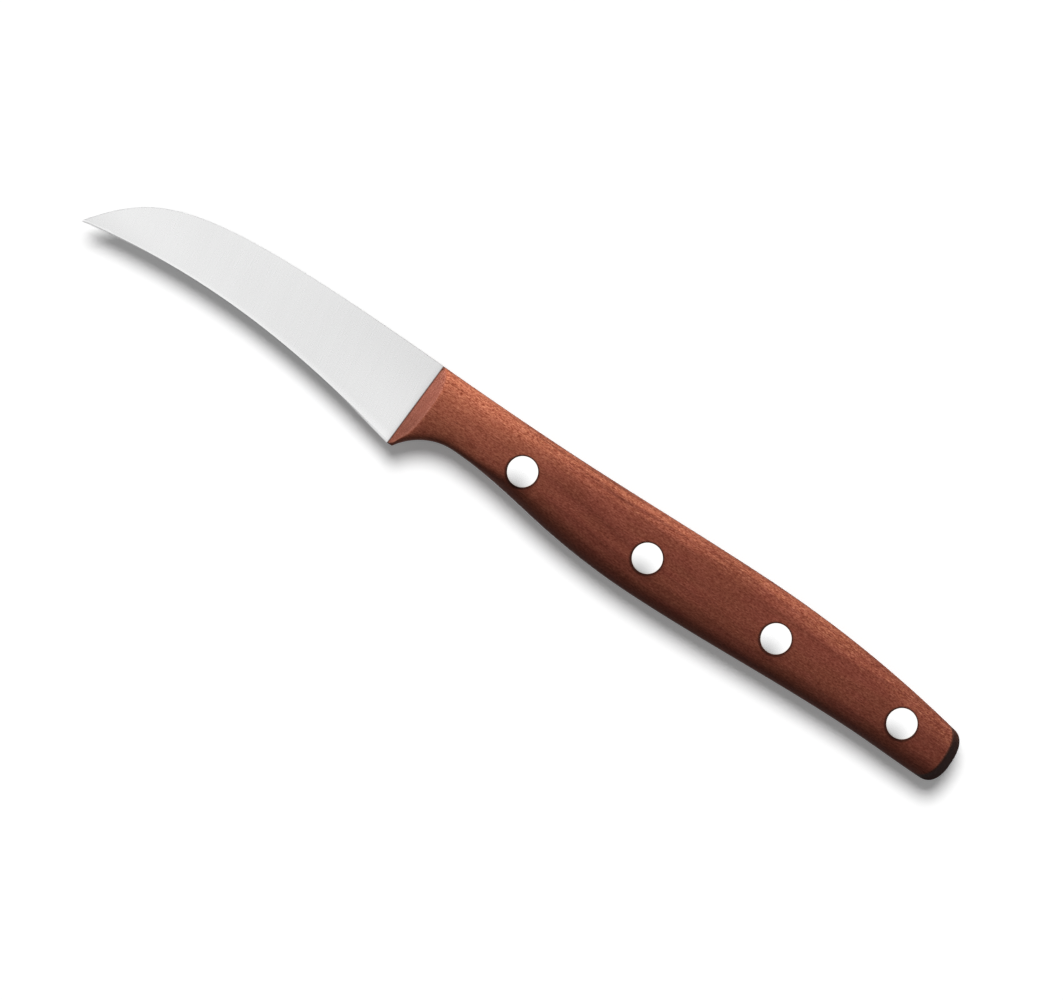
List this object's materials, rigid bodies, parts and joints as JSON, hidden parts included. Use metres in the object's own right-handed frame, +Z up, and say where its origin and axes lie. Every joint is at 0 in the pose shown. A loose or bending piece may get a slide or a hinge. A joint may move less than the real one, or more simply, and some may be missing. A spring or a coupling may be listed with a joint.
{
  "type": "bird's beak paring knife",
  "caption": "Small paring knife with a curved, hooked blade and a full tang between two riveted wooden scales that swell at the belly.",
  "frame": {"origin": "middle of the outline's box, on the plane that the knife lies on", "axes": "+X along the handle from the tip to the butt, +Y from the cutting edge to the spine, +Z up, square to the blade"},
  "size_m": [0.178, 0.0168, 0.012],
  "materials": {
    "blade_steel": "satin, fine polishing lines across the blade",
    "handle_wood": "oiled red-brown fruitwood, soft sheen",
    "rivet_metal": "ground flush, satin"
  },
  "bodies": {
    "root": {"blade": "blade_steel", "scale_upper": "handle_wood", "scale_lower": "handle_wood", "rivet_1": "rivet_metal", "rivet_2": "rivet_metal", "rivet_3": "rivet_metal", "rivet_4": "rivet_metal"}
  },
  "joints": []
}
